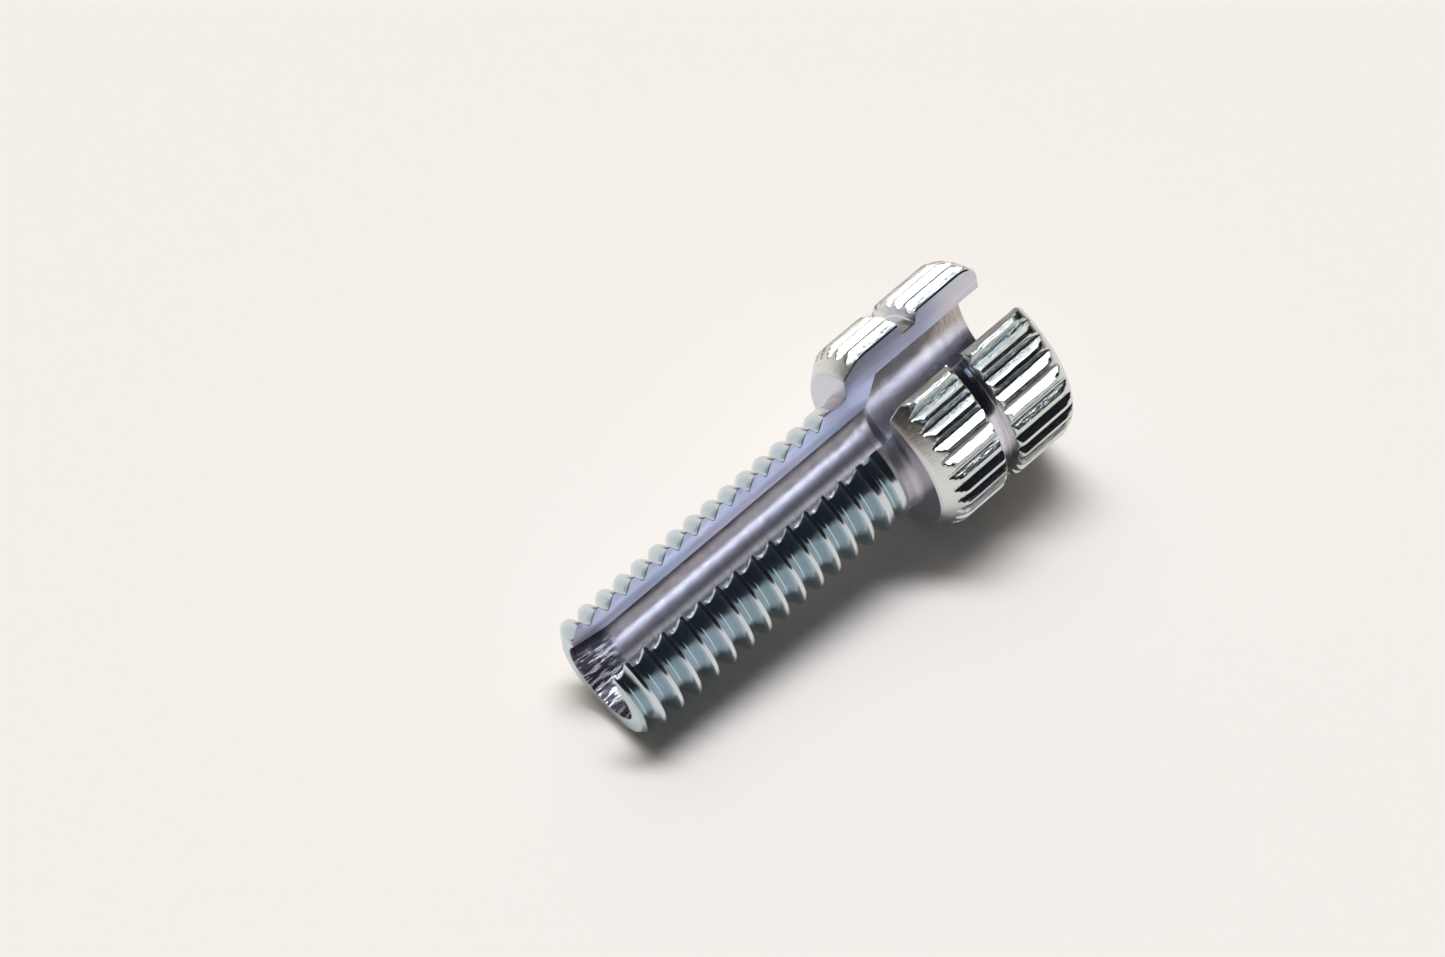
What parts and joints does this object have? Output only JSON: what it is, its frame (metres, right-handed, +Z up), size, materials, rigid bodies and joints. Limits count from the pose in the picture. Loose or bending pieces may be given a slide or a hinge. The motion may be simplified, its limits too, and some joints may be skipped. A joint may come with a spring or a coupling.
{
  "type": "cable adjusting screw",
  "caption": "Slotted, hollow adjusting screw with a knurled head: a cable lies in its slot, the cable housing seats in its head and its thread sets the tension.",
  "frame": {"origin": "on the floor, under the middle of the screw as it lies at rest", "axes": "+X from the threaded tip towards the knurled head, +Z up, out of the slot's mouth; the screw's axis leans up towards the head by about 6.5 degrees in the XZ plane"},
  "size_m": [0.0242, 0.0096, 0.01],
  "materials": {
    "zinc_plate": "bright zinc plate over turned steel"
  },
  "bodies": {
    "root": {"adjusting_screw": "zinc_plate"}
  },
  "joints": []
}
